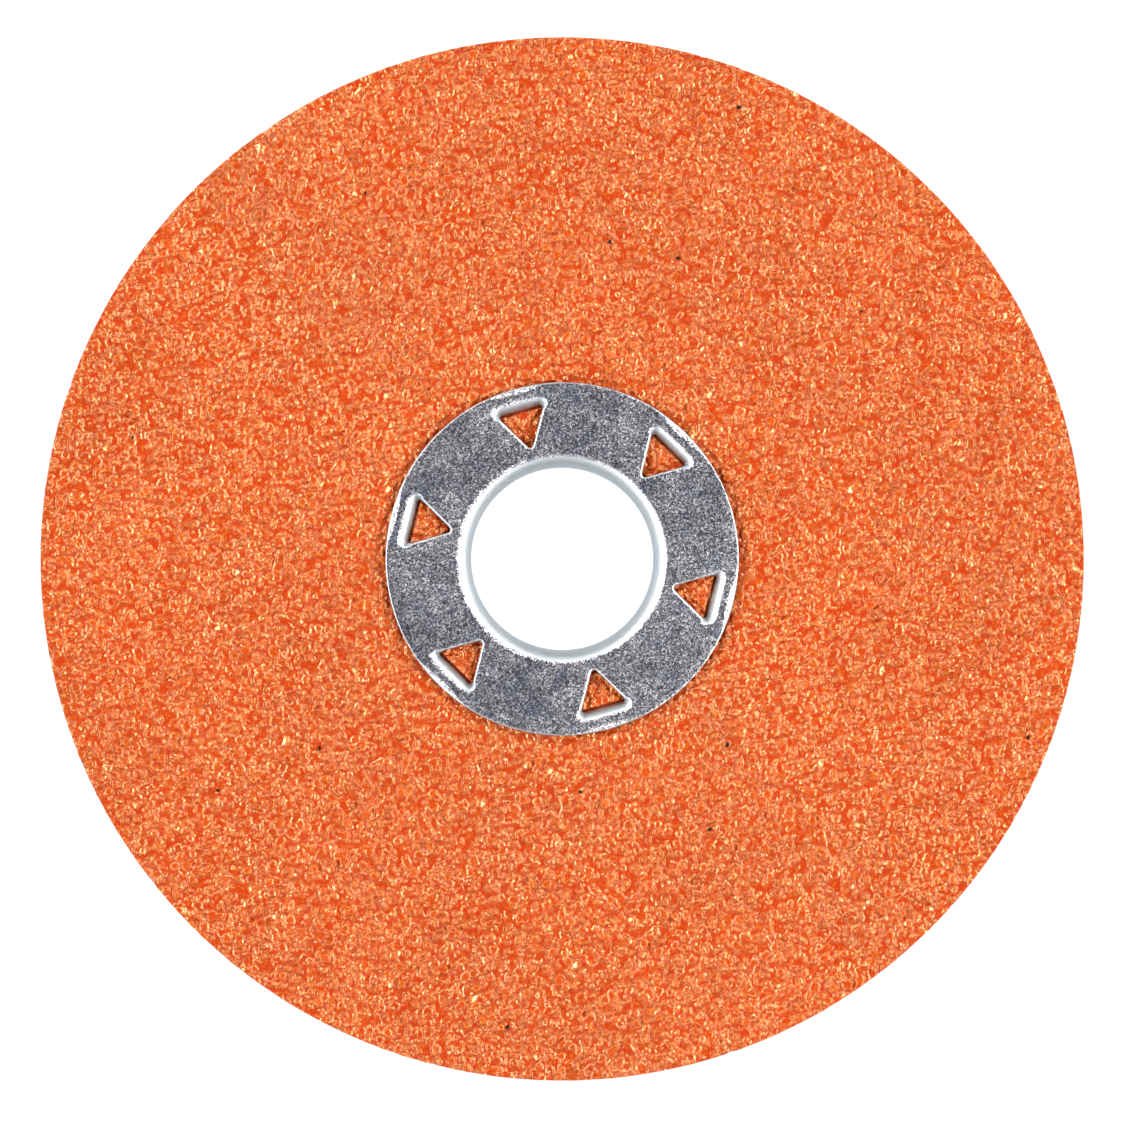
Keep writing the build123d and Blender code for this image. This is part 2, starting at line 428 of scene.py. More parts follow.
relief = {
    "pitch": 0.065,              # of the height map
    "meshStep": 0.143,           # between mesh points
    "layers": (                  # cell size, turn of its grid, grain radii, grain heights
        (1.20, 0.35, (0.52, 0.92), (0.30, 0.58)),
        (1.00, 1.30, (0.36, 0.72), (0.24, 0.52)),
        (0.80, 0.80, (0.22, 0.42), (0.26, 0.50)),
    ),
    "facets": 8,
    "squareness": 0.70,          # the nearest side's distance next to the furthest
    "steepness": (52.0, 72.0),   # degrees, the sides
    "bevelSlope": (22.0, 40.0),  # degrees, between top and side
    "bevelSpread": 4.0,
    "bevelWidth": (0.04, 0.10),
    "tilt": 0.13,                # of a grain's top
    "warp": 0.10,                # how far the outlines wander
    "pool": 0.24,                # level of the resin between grains
    "poolWander": 0.04,
    "resinWrap": 0.045,          # how far the resin rounds the grain off
    "ripple": 0.014,
    "depth": 0.58,               # from the highest grain down to the deepest valley
    "holeRadius": 13.0,
    "tilesAcross": 3,
    "pressedIn": 0.07,           # under the flange
    "pressedEdge": (0.1, 0.9),   # how far outside the flange the coat climbs back
    "slitFrom": (0.36, 0.22),    # in front of a tooth's face: where the slit opens and is open
    "slitTo": (0.9, 1.1),        # behind it
    "slitHalfWidth": (3.2, 3.5),
    "slitFloor": 0.02,           # above the make coat
    "nickFrom": 0.75,            # the cut edge is nicked where its noise passes this
    "nickFull": 1.4,             # and is cut deepest where it passes this
    "nickDepth": 0.34,
    "nickLength": 1.6,           # in steps of the edge
    "nickReach": 1.2,            # how far in from the edge a nick is felt
    "edgeSteps": 1800,
    "nickSeed": 8,
    "seed": 71,
}


def blurred(field, sigma, pitch):
    # Gaussian blur by the Fourier transform; sigma in mm
    fy = np.fft.fftfreq(field.shape[0], pitch)[:, None]
    fx = np.fft.rfftfreq(field.shape[1], pitch)[None, :]
    kernel = np.exp(-2 * (math.pi * sigma) ** 2 * (fx ** 2 + fy ** 2))
    return np.fft.irfft2(np.fft.rfft2(field) * kernel, s=field.shape)


def softNoise(shape, sigma, pitch, rng):
    # blurred white noise, from about -1 to 1
    field = blurred(rng.standard_normal(shape), sigma, pitch)
    return field / (2.2 * field.std())


def scatterGrains(x, y, cell, turned, radii, heights, rng):
    # One many-sided grain in each square cell of a turned grid. Its height at a point is the
    # lowest of its tilted top, its steep sides and the gentler bevels between them, and the field
    # is the highest grain there. A single-precision copy of each value is looked up by cell.
    look = relief
    facets = look["facets"]
    c, s = math.cos(turned), math.sin(turned)
    x, y = (x * c + y * s).astype(np.float32), (y * c - x * s).astype(np.float32)
    low = float(-1.05 * max(x.max(), y.max()) - 2 * cell)
    count = int(-2 * low / cell) + 3
    grid = (count, count)
    centreX, centreY = rng.uniform(0.0, 1.0, (2, *grid))
    centreX = low + (centreX + np.arange(count)) * cell
    centreY = low + (centreY + np.arange(count)[:, None]) * cell
    radius = rng.uniform(*radii, grid)
    height = rng.uniform(*heights, grid)
    most = 2 * look["tilt"]
    tiltX, tiltY = np.clip(rng.normal(0, look["tilt"], (2, *grid)), -most, most)
    tone = rng.uniform(0, 1, grid)
    turn = rng.uniform(0, 2 * math.pi, grid)
    foot = radius * rng.uniform(look["squareness"], 1.0, (facets, *grid))
    steep = np.tan(np.radians(rng.uniform(*look["steepness"], grid))) * np.ones((facets, 1, 1))
    bevelAngle = rng.uniform(*look["bevelSlope"], grid)
    bevelAngle = bevelAngle + rng.normal(0, look["bevelSpread"], (facets, *grid))
    bevel = np.tan(np.radians(np.clip(bevelAngle, 6, 50)))
    bevelStart = foot - height / steep - rng.uniform(*look["bevelWidth"], grid)
    uneven = rng.uniform(-0.3, 0.3, (facets, *grid))
    angle = turn + (np.arange(facets)[:, None, None] + uneven) * 2 * math.pi / facets
    flat = np.stack([centreX, centreY, height, tiltX, tiltY, tone]).astype(np.float32)
    centreX, centreY, height, tiltX, tiltY, tone = flat.reshape(6, -1)
    sides = np.stack([np.cos(angle), np.sin(angle), foot, steep, bevelStart, bevel], 1)
    sides = sides.astype(np.float32).reshape(facets, 6, -1)
    column = ((x - low) / cell).astype(int)
    row = ((y - low) / cell).astype(int)
    best = np.zeros(x.shape, np.float32)
    bestTone = np.full(x.shape, 0.5, np.float32)
    for stepY in (-1, 0, 1):
        for stepX in (-1, 0, 1):
            at = (row + stepY) * count + column + stepX
            dx, dy, high = x - centreX[at], y - centreY[at], height[at]
            here = high + tiltX[at] * dx + tiltY[at] * dy
            for sideX, sideY, sideFoot, sideSlope, bevelFrom, bevelDrop in sides:
                out = dx * sideX[at] + dy * sideY[at]
                here = np.minimum(here, (sideFoot[at] - out) * sideSlope[at])
                here = np.minimum(here, high + (bevelFrom[at] - out) * bevelDrop[at])
            wins = here > best
            best = np.where(wins, here, best)
            bestTone = np.where(wins, tone[at], bestTone)
    return best, bestTone


def reliefMap():
    # A square map of the height above the deepest valley, in mm, its slopes, each grain's tone,
    # and how convex the surface is. The height is the highest of three layers of grains and the
    # wandering pool of resin between them, blurred by the resin's wrap and rippled.
    look = relief
    pitch = look["pitch"]
    rng = np.random.default_rng(look["seed"])
    side = sheet["discRadius"] + 1.0
    axis = np.arange(-side, side + pitch / 2, pitch)
    x, y = np.meshgrid(axis, axis)
    warpX = x + look["warp"] * softNoise(x.shape, 0.22, pitch, rng)
    warpY = y + look["warp"] * softNoise(x.shape, 0.22, pitch, rng)
    height = look["pool"] + look["poolWander"] * softNoise(x.shape, 0.9, pitch, rng)
    tone = np.full(x.shape, 0.5)
    for cell, turned, radii, heights in look["layers"]:
        grains, grainTone = scatterGrains(warpX, warpY, cell, turned, radii, heights, rng)
        tone = np.where(grains > height, grainTone, tone)
        height = np.maximum(height, grains)
    height = blurred(height, look["resinWrap"], pitch)
    height += look["ripple"] * softNoise(x.shape, 0.14, pitch, rng)
    convex = height - blurred(height, 0.16, pitch)
    convex = np.clip(0.5 + convex / (5 * convex.std()), 0, 1)
    height -= np.percentile(height, 0.05)
    height = np.clip(height / np.percentile(height, 99.95), 0, 1) * look["depth"]
    slopeY, slopeX = np.gradient(height, pitch)
    return axis, height, (slopeX, slopeY), blurred(tone, 0.06, pitch), convex


def sample(axis, field, x, y):
    # the map read between its points by bilinear steps
    pitch = axis[1] - axis[0]
    u = (x - axis[0]) / pitch
    v = (y - axis[0]) / pitch
    i, j = u.astype(int), v.astype(int)
    u, v = u - i, v - j
    return ((field[j, i] * (1 - u) + field[j, i + 1] * u) * (1 - v)
            + (field[j + 1, i] * (1 - u) + field[j + 1, i + 1] * u) * v)


def discGrid(rings):
    # A square grid laid on a disc: each square ring of 8k points becomes a circle of radius k. A
    # point's turn is 45 degrees times the shorter of its two square coordinates over the longer
    # one, from the nearest axis.
    line = np.arange(-rings, rings + 1)
    a, b = np.meshgrid(line, line)
    wide = abs(a) >= abs(b)
    signed = np.where(wide, a, b)
    whole = np.where(signed == 0, 1, signed)
    turn = np.where(wide, b / whole, 2 - a / whole) * math.pi / 4
    return signed * np.cos(turn) / rings, signed * np.sin(turn) / rings


def smoothStep(value, start, end):
    # 0 before start and 1 after end, by 3 t^2 - 2 t^3 between them
    t = np.clip((value - start) / (end - start), 0, 1)
    return t * t * (3 - 2 * t)


def edgeNicks(x, y):
    # how far each point is drawn in by a nick of the cut edge: soft noise along the edge, of
    # which only the peaks cut, fading out towards the axis
    look = relief
    outer, steps = sheet["discRadius"], look["edgeSteps"]
    rng = np.random.default_rng(look["nickSeed"])
    line = softNoise((1, steps + 1), look["nickLength"], 1.0, rng)[0]
    line = smoothStep(line, look["nickFrom"], look["nickFull"]) * look["nickDepth"]
    line[-1] = line[0]
    along = steps / 2 * (1 + np.arctan2(y, x) / math.pi)
    felt = smoothStep(np.hypot(x, y), outer - look["nickReach"], outer)
    return np.interp(along, np.arange(steps + 1), line) * felt


def toothSlits(x, y):
    # 1 where the coat is slit open at the face of a tooth, 0 away from it, with soft edges
    look = relief
    shape = flangeShape
    opened = np.zeros(x.shape)
    for number in range(shape["teeth"]):
        a = math.radians(shape["firstTooth"]) + 2 * math.pi * number / shape["teeth"]
        along = x * math.cos(a) + y * math.sin(a) - shape["toothFace"]
        across = np.abs(y * math.cos(a) - x * math.sin(a))
        slit = smoothStep(along, -look["slitFrom"][0], -look["slitFrom"][1])
        slit *= (1 - smoothStep(along, *look["slitTo"])) * (1 - smoothStep(across, *look["slitHalfWidth"]))
        opened = np.maximum(opened, slit)
    return opened


def makeRelief(material):
    # the coated face: grid points on the disc lifted by the relief map, pressed down under the
    # flange, opened in a slit at the face of each tooth, and nicked along the cut edge
    look = relief
    axis, field, slopes, toneField, convexField = reliefMap()
    print("relief map", field.shape, "highest", round(float(field.max()), 3))
    rings = int(sheet["discRadius"] / look["meshStep"])
    x, y = discGrid(rings)
    x, y = x * sheet["discRadius"], y * sheet["discRadius"]
    radius = np.hypot(x, y)
    cut = edgeNicks(x, y)
    x, y = x * (1 - cut / sheet["discRadius"]), y * (1 - cut / sheet["discRadius"])
    height = sample(axis, field, x, y)
    slopeX, slopeY = sample(axis, slopes[0], x, y), sample(axis, slopes[1], x, y)
    tone = sample(axis, toneField, x, y)
    convex = sample(axis, convexField, x, y)
    z = sheet["coatTop"] - look["depth"] + height
    climbFrom, climbTo = look["pressedEdge"]
    climb = smoothStep(radius, sheet["hubRadius"] + climbFrom, sheet["hubRadius"] + climbTo)
    z -= look["pressedIn"] * (1 - climb)
    opened = toothSlits(x, y)
    z = z * (1 - opened) + (sheet["makeTop"] + look["slitFloor"]) * opened
    # painted shade: the convex mark is set to nothing in the slits, so that the resin's crease shade
    # darkens them
    convex = convex * (1 - opened)
    points = np.stack([x, y, z], -1)
    normal = np.cross(np.gradient(points, axis=1), np.gradient(points, axis=0))
    normal /= np.linalg.norm(normal, axis=-1, keepdims=True)
    normal *= np.where(normal[..., 2:] < 0, -1, 1)
    # away from the slits the slopes of the map itself are sharper than those between mesh points
    fine = np.stack([-slopeX, -slopeY, np.ones(x.shape)], -1)
    fine /= np.linalg.norm(fine, axis=-1, keepdims=True)
    normal = np.where(opened[..., None] > 0, normal, fine)
    keep = radius > look["holeRadius"]
    count = 2 * rings + 1
    cuts = np.linspace(0, count - 1, look["tilesAcross"] + 1).astype(int)
    tiles = []
    for j in range(look["tilesAcross"]):
        for i in range(look["tilesAcross"]):
            rows = slice(cuts[j], cuts[j + 1] + 1)
            columns = slice(cuts[i], cuts[i + 1] + 1)
            part = points[rows, columns]
            quads = gridFaces(*part.shape[:2])
            quads = quads[keep[rows, columns].ravel()[quads].all(1)]
            used = np.unique(quads)
            fresh = np.full(part.shape[0] * part.shape[1], -1)
            fresh[used] = np.arange(len(used))
            marks = {
                "lift": (height[rows, columns] / look["depth"]).ravel()[used],
                "tone": tone[rows, columns].ravel()[used],
                "convex": convex[rows, columns].ravel()[used],
            }
            tileNormals = normal[rows, columns].reshape(-1, 3)[used]
            tiles.append(makePiece(f"grainCoat_{len(tiles)}", part.reshape(-1, 3)[used],
                                   fresh[quads], material, normals=tileNormals, marks=marks))
    print("relief tiles", len(tiles), "triangles each", [2 * len(t.data.polygons) for t in tiles])
    sides = [points[0, :-1], points[:-1, -1], points[-1, :0:-1], points[:0:-1, 0]]
    rimLoop = np.concatenate(sides)

    def heightAt(px, py):
        grain = sample(axis, field, np.array([px]), np.array([py]))[0]
        return sheet["coatTop"] - look["depth"] + float(grain)

    return tiles, rimLoop, heightAt


flangeShape = {
    "teeth": 6,
    "firstTooth": 45.7,          # degrees from +X
    "windowTip": 13.72,
    "windowHalfAngle": 30.4,
    "toothFace": 18.75,          # radius of the bent teeth's inner face
    "cornerRound": 0.36,
    "cornerSteps": 16,
    "sideRoll": (0.30, 0.26),    # width and depth of the window's rolled-over sides
    "baseRoll": (1.42, 1.35),    # and of the bend at its base
    "rollPower": 1.62,           # 2 is a round bend, less turns down faster at first
    "burr": (0.03, 0.06),        # how far a cut side leans under its edge, above and below
    "rimRound": 0.20,
    "facetStart": 20.72,         # rim strip pulled down outside each tooth
    "facetTilt": 20.0,
    "facetRadius": 64.0,
    "facetSoft": 0.012,
    "outlinePoints": 204,
    "rollWidth": 1.82,           # of the collar's front edge
    "rollDepth": 1.74,
    "collarPower": 1.50,
    "curlRadius": 1.20,          # of its rear edge
    "lipRadius": 13.90,
    "lipRound": 0.12,
    "clinchTip": 21.38,
    "toothHalfWidths": (2.75, 1.24),   # below the bend and at the clinch
    "toothTip": 0.20,            # width of its blunt end next to that at the clinch
    "clinchInner": 0.25,
    "clearance": 0.015,          # keeps a tooth's wall off the bend above it
}
far = 1e9                        # stands for a ray that never meets a line


def arcPoints(centre, radius, start, end, count):
    # points of a circle's arc between two angles in degrees
    turn = np.radians(np.linspace(start, end, count))
    return np.stack([centre[0] + radius * np.cos(turn), centre[1] + radius * np.sin(turn)], -1)


def bendPoints(power, start, end, count):
    # one quarter of the curve x^power + y^power = 1, as how far it has run and dropped, from flat
    # (0 degrees) to upright (90)
    turn = np.radians(np.linspace(start, end, count))
    return np.sin(turn) ** (2 / power), 1 - np.maximum(np.cos(turn), 0) ** (2 / power)


def windowOutline(count):
    # Closed outline of one window, its tip towards the axis: three straight sides joined by round
    # corners, read at equal steps of length. Gives the points and the angle that each one faces.
    look = flangeShape
    slope = math.radians(look["windowHalfAngle"])
    base = look["toothFace"]
    half = (base - look["windowTip"]) * math.tan(slope)
    corners = np.array([(look["windowTip"], 0.0), (base, -half), (base, half)])
    quarters = math.pi / 2 * np.array([1, 3, 4, 5])
    facing = quarters + slope * np.array([1, -1, 0, 1])
    points, faces = [], []
    for corner, first, last in zip(corners, facing[:-1], facing[1:]):
        middle, bend = (first + last) / 2, (last - first) / 2
        back = look["cornerRound"] / math.cos(bend)
        centre = corner - back * np.array([math.cos(middle), math.sin(middle)])
        turn = np.linspace(first, last, look["cornerSteps"])
        points.append(centre + look["cornerRound"] * np.stack([np.cos(turn), np.sin(turn)], -1))
        faces.append(turn)
    points = np.concatenate(points + [points[0][:1]])
    faces = np.concatenate(faces + [faces[0][:1] + 2 * math.pi])
    along = np.concatenate([[0], np.cumsum(np.hypot(*np.diff(points, axis=0).T))])
    # the steps start at the middle of the tip, so that the two halves mirror each other
    tip = along[look["cornerSteps"] - 1] / 2
    read = (tip + along[-1] * np.arange(count) / count) % along[-1]
    x, y = np.interp(read, along, points[:, 0]), np.interp(read, along, points[:, 1])
    return np.stack([x, y], -1), np.interp(read, along, faces)


def sectorEdge(turn, centre, inner, outer):
    # where a ray from (centre, 0) leaves one tooth's share of a ring: the nearest of its two
    # circles and its two straight sides
    c, s = np.cos(turn), np.sin(turn)
    slope = math.tan(math.pi / flangeShape["teeth"])
    away = np.abs(s) - c * slope
    toSide = np.where(away > 1 / far, centre * slope / np.maximum(away, 1 / far), far)
    toRim = -centre * c + np.sqrt(outer ** 2 - (centre * s) ** 2)
    inside = inner ** 2 - (centre * s) ** 2
    toCollar = -centre * c - np.sqrt(np.maximum(inside, 0))
    toCollar = np.where((inside > 0) & (c < 0), toCollar, far)
    reach = np.minimum(np.minimum(toSide, toRim), toCollar)
    return np.stack([centre + reach * c, reach * s], -1)


def facetDrop(x, y):
    # how far the rim strip is pulled down: a shallow trough tilted outwards, which is the slope
    # along x less y^2 / (2 radius), softly clipped at nothing
    look = flangeShape
    slope = math.tan(math.radians(look["facetTilt"]))
    depth = (x - look["facetStart"]) * slope - y ** 2 / (2 * look["facetRadius"])
    return (depth + np.sqrt(depth ** 2 + look["facetSoft"] ** 2)) / 2


def turned(points, degrees):
    # points turned about the z axis
    c, s = math.cos(math.radians(degrees)), math.sin(math.radians(degrees))
    x, y, z = points[..., 0], points[..., 1], points[..., 2]
    return np.stack([x * c - y * s, x * s + y * c, z], -1)


def plateSector(top, bottom, inner, outer):
    # One sixth of the pressed plate as a closed loop of columns round its window. Down a column
    # the surface runs from the sector's edge over the flat top, round the window's bend
    # (bendPoints), down its wall, and back below to the edge. The bend is wider and deeper
    # towards the window's base, by a smooth step of the direction that the outline faces.
    look = flangeShape
    outline, facing = windowOutline(look["outlinePoints"])
    normal = np.stack([np.cos(facing), np.sin(facing)], -1)
    base = smoothStep(normal[:, 0], -0.5, 1.0)
    width = look["sideRoll"][0] + (look["baseRoll"][0] - look["sideRoll"][0]) * base
    depth = look["sideRoll"][1] + (look["baseRoll"][1] - look["sideRoll"][1]) * base
    centre = 0.5 * (look["windowTip"] + look["facetStart"]) - 0.3   # rays start in the window
    flat = outline + normal * width[:, None]
    edge = sectorEdge(np.arctan2(flat[:, 1], flat[:, 0] - centre), centre, inner, outer)
    # the points nearest to the sector's four corners are moved onto them
    half = math.pi / look["teeth"]
    for radius in (inner, outer):
        for side in (-half, half):
            corner = radius * np.array([math.cos(side), math.sin(side)])
            edge[np.argmin(np.hypot(*(edge - corner).T))] = corner
    rows = []

    def addRow(plan, z):
        heights = np.broadcast_to(np.asarray(z, float), len(plan))
        rows.append(np.concatenate([plan, heights[:, None]], 1))

    for t in np.linspace(1, 0, 19):
        plan = flat + (edge - flat) * t
        addRow(plan, top - facetDrop(plan[:, 0], plan[:, 1]))
    for run, drop in zip(*bendPoints(look["rollPower"], 8, 90, 10)):
        addRow(outline + normal * (width * (1 - run))[:, None], top - depth * drop)
    burrTop, burrFoot = look["burr"]
    low = np.minimum(top - depth - burrTop, bottom)
    addRow(outline, low)
    wall = burrTop + (steelThickness - burrTop) * base
    under = burrFoot + (look["baseRoll"][1] - burrFoot) * base
    for a in np.radians(np.linspace(0, 90, 5)):
        plan = outline + normal * (wall + (under - wall) * (1 - math.cos(a)))[:, None]
        addRow(plan, low + (bottom - low) * math.sin(a))
    start = outline + normal * under[:, None]
    for t in (0.25, 0.5, 0.75, 1.0):
        addRow(start + (edge - start) * t, bottom)
    return np.array(rows), edge


def spunRing(angles, profile, drop=None):
    # a profile of (radius, z) points carried round the axis at the given angles; drop lowers
    # single points
    radius, z = profile[:, 0][:, None], profile[:, 1][:, None]
    x, y = radius * np.cos(angles), radius * np.sin(angles)
    z = np.broadcast_to(z, x.shape) - (0 if drop is None else drop(x, y))
    return np.stack([x, y, z], -1)


def bentTooth(top, lowest):
    # One tooth below its bend: a strip of even thickness driven straight down, turned outwards
    # by a quarter circle and narrowing to a blunt point. Each station along it is a closed ring of
    # front points and back points.
    look = flangeShape
    face = look["toothFace"] + look["clearance"]
    thick = steelThickness - 2 * look["clearance"]
    start = top - look["baseRoll"][1] + 0.02
    turnRadius = steelThickness + look["clinchInner"]
    centre = (look["toothFace"] + turnRadius, lowest + turnRadius)
    outer = centre[0] - face
    down = np.linspace(start, centre[1], 5)[:-1]
    tipwards = np.linspace(0, 1, 9)[1:]
    along = np.outer(tipwards * (look["clinchTip"] - centre[0]), (1, 0))

    def strip(x, radius):
        straight = np.stack([np.full(len(down), x), down], -1)
        line = np.concatenate([straight, arcPoints(centre, radius, 180, 270, 9)])
        return np.concatenate([line, line[-1] + along])

    front, back = strip(face, outer), strip(face + thick, outer - thick)
    high, low = look["toothHalfWidths"]
    bend = len(front) - len(tipwards)
    half = np.interp(np.arange(bend), [0, bend - 1], [high, low])
    half = np.concatenate([half, low * (1 - tipwards ** 1.6 * (1 - look["toothTip"]))])
    across = np.array([-1, -0.96, -0.5, 0, 0.5, 0.96, 1])   # the outer ones are drawn in as a bevel
    inset = np.array([0.14, 0.03, 0, 0, 0, 0.03, 0.14])[None, :, None]
    frontRows = front[:, None] + (back - front)[:, None] * inset
    backRows = back[:, None] + (front - back)[:, None] * inset
    ring = np.concatenate([frontRows, backRows[:, ::-1]], 1)
    y = half[:, None] * np.concatenate([across, across[::-1]])
    points = np.stack([ring[..., 0], y, ring[..., 1]], -1)
    rows, columns = points.shape[:2]
    quads = gridFaces(rows, columns, closed=True)
    pairs = np.arange(columns // 2 - 1)
    cap = np.stack([pairs, columns - 1 - pairs, columns - 2 - pairs, pairs + 1], -1)
    return points.reshape(-1, 3), np.concatenate([quads, cap, (rows - 1) * columns + cap[:, ::-1]])


def makeFlange(material):
    # plate, rolled collar, rim and teeth, joined into one closed surface; one tooth's share is
    # worked out, and the others are that share turned about the axis
    look = flangeShape
    top, bottom, lowest = sheet["flangeTop"], sheet["flangeBottom"], sheet["lowest"]
    rim = sheet["hubRadius"] - look["rimRound"]
    collar = sheet["boreRadius"] + look["rollWidth"]
    places = look["firstTooth"] + 360 / look["teeth"] * np.arange(look["teeth"])
    sector, edge = plateSector(top, bottom, collar, rim)
    radius, angle = np.hypot(*edge.T), np.arctan2(edge[:, 1], edge[:, 0])
    rimTurns = np.unique(np.round(angle[radius > rim - 1e-6], 9))
    collarTurns = np.unique(np.round(angle[radius < collar + 1e-6], 9))

    rimRound = look["rimRound"]
    outer = rim + rimRound
    rimTop = arcPoints((rim, top - rimRound), rimRound, 90, 0, 6)
    rimFoot = [(outer, bottom + 0.07), (outer - 0.02, bottom + 0.02), (outer - 0.07, bottom), (rim, bottom)]
    rimProfile = np.concatenate([rimTop, rimFoot])
    run, drop = bendPoints(look["collarPower"], 0, 90, 30)
    curl, lip, lipRound = look["curlRadius"], look["lipRadius"] - look["lipRound"], look["lipRound"]
    curlCentre = (sheet["boreRadius"] + curl, lowest + curl)
    thick = steelThickness
    width, depth = look["rollWidth"], look["rollDepth"]
    under = np.stack([collar - (width - thick) * run, bottom - (depth - thick) * drop], -1)
    collarProfile = np.concatenate([
        np.stack([collar - width * run, top - depth * drop], -1),
        arcPoints(curlCentre, curl, 180, 270, 13),
        arcPoints((lip, lowest + lipRound), lipRound, 270, 360, 5),
        arcPoints((lip, lowest + thick - lipRound), lipRound, 0, 90, 5),
        arcPoints(curlCentre, curl - thick, 270, 180, 7),
        under[::-3],
        [(collar, bottom)],
    ])
    tooth, toothQuads = bentTooth(top, lowest)
    # only the rim's top follows the pulled-down strip
    fall = np.concatenate([np.ones(len(rimTop)), np.zeros(len(rimFoot))])[:, None]
    rimRing = spunRing(rimTurns, rimProfile, lambda x, y: facetDrop(x, y) * fall)
    collarRing = spunRing(collarTurns, collarProfile)
    blocks = [
        (sector.reshape(-1, 3), gridFaces(*sector.shape[:2], closed=True)),
        (rimRing.reshape(-1, 3), gridFaces(*rimRing.shape[:2])),
        (collarRing.reshape(-1, 3), gridFaces(*collarRing.shape[:2])),
        (tooth, toothQuads),
    ]
    points, quads, count = [], [], 0
    for degrees in places:
        for block, blockQuads in blocks:
            points.append(turned(block, degrees))
            quads.append(blockQuads + count)
            count += len(block)
    piece = makePiece("frontFlangePressing", np.concatenate(points), np.concatenate(quads), material)
    joinSeams(piece)
    markTilt(piece)
    print("front flange triangles", sum(len(f.vertices) - 2 for f in piece.data.polygons))
    return piece


cutEdgeShape = {
    "rows": 5,
    "roughness": 0.05,           # mm, how far the cut wanders inwards
    "lumps": 0.25,               # mm, how wide its waves are
    "pitch": 0.11,
    "seed": 19,
}


def makeCutEdge(rimLoop, material):
    # the disc's die-cut side: columns of points under the relief's outer loop, down to the make
    # coat, with the cut pushed inwards by soft noise that fades at both ends as a sine
    look = cutEdgeShape
    rng = np.random.default_rng(look["seed"])
    t = np.linspace(0, 1, look["rows"])[:, None]
    z = rimLoop[:, 2] * (1 - t) + sheet["makeTop"] * t
    rough = np.abs(softNoise(z.shape, look["lumps"], look["pitch"], rng))
    rough = rough * np.sin(math.pi * t) * look["roughness"]
    loopRadius = np.hypot(rimLoop[:, 0], rimLoop[:, 1])
    radius = loopRadius * (1 - t) + sheet["discRadius"] * t
    scale = (radius - rough) / loopRadius
    points = np.stack([rimLoop[:, 0] * scale, rimLoop[:, 1] * scale, z], -1)
    quads = gridFaces(*z.shape, closed=True)[:, ::-1]
    return makePiece("cutEdge", points.reshape(-1, 3), quads, material)


specks = {
    "places": (                  # x and y from the axis, and radius
        (21.5, 55.0, 0.26), (5.8, 38.6, 0.22), (14.1, 36.6, 0.20), (-29.5, -23.1, 0.24),
        (-41.9, -28.2, 0.20), (20.1, -22.6, 0.26), (2.2, -28.4, 0.20), (18.0, -32.9, 0.22),
        (56.7, -21.7, 0.24), (-6.6, -57.0, 0.22), (-52.3, 14.8, 0.17), (36.4, 30.2, 0.16),
        (-24.0, 44.5, 0.17),
    ),
    "steps": (8, 12),            # up and around each one
    "waves": (0.22, 0.14),
    "flatness": 0.7,
    "sitsUp": 0.35,              # of its radius, above the resin
    "seed": 5,
}


def makeSpecks(heightAt, material):
    # dark grains of stray grit: each is a small ball whose radius changes with direction by two
    # soft waves, closed by strips of quads at its poles
    look = specks
    rng = np.random.default_rng(look["seed"])
    rows, columns = look["steps"]
    around = np.linspace(0, 2 * math.pi, columns, endpoint=False)
    upward = np.radians(np.linspace(-89, 89, rows))[:, None]
    ids = np.arange(rows * columns).reshape(rows, columns)
    caps = [[end[k], end[k + 1], end[columns - 2 - k], end[columns - 1 - k]]
            for end in (ids[0][::-1], ids[-1]) for k in range(columns // 2 - 1)]
    ballQuads = np.concatenate([gridFaces(rows, columns, closed=True), caps])
    first, other = look["waves"]
    points, quads = [], []
    for number, (x, y, size) in enumerate(look["places"]):
        phase, second = rng.uniform(0, 2 * math.pi, 2)
        wave = first * np.cos(2 * around + phase)
        wave = wave + other * np.cos(3 * around + 4 * upward + second)
        radius = size * (1 + wave)
        flat = radius * np.cos(upward)
        z = heightAt(x, y) + look["sitsUp"] * size + look["flatness"] * radius * np.sin(upward)
        ball = np.stack([x + flat * np.cos(around), y + flat * np.sin(around), z], -1)
        points.append(ball.reshape(-1, 3))
        quads.append(ballQuads + ids.size * number)
    return makePiece("strayGrit", np.concatenate(points), np.concatenate(quads), material)


stageLook = {
    "lens": 200.0,
    "sensor": 36.0,
    "frameWidth": 136.88,        # mm of the object's plane across the picture
    "cameraShift": (0.04, -0.19),
    "floorSize": 4000.0,
    "floorGlow": 0.95,
    "floorColour": (0.08, 0.08, 0.08),
    "capRadius": 31.0,           # degrees, the dim ceiling over the disc
    "capSoft": 9.0,
    "capTilt": 16.0,
    "capAzimuth": 130.0,
    "capLight": (0.24, 0.25, 0.28),
    "ringLight": (0.17, 0.17, 0.17),
    "softLights": (              # zenith angle, azimuth, radius, softness in degrees, and strength
        (46.0, 8.0, 30.0, 10.0, 1.10),
        (48.0, -100.0, 30.0, 12.0, 0.55),
        (50.0, 180.0, 16.0, 8.0, 0.50),
    ),
    "stripLight": 20.0,          # a bright band round the tent
    "stripZenith": (49.0, 62.0),   # degrees from straight up
    "stripSoft": 3.0,
    "stripEnds": 0.15,           # how bright the band is above and below, next to its left and right
    "stripTop": 0.10,            # how much brighter it is above than below
}


def makeCamera():
    # looks straight down on the disc from frameWidth * lens / sensor above its coated face
    look = stageLook
    camera = bpy.data.cameras.new("camera")
    camera.lens = look["lens"]
    camera.sensor_width = look["sensor"]
    holder = bpy.data.objects.new("camera", camera)
    distance = look["frameWidth"] * look["lens"] / look["sensor"]
    across, up = look["cameraShift"]
    height = distance + sheet["coatTop"]
    holder.location = (across / perMetre, up / perMetre, height / perMetre)
    camera.clip_start, camera.clip_end = 0.05, 50.0
    bpy.context.scene.collection.objects.link(holder)
    bpy.context.scene.camera = holder


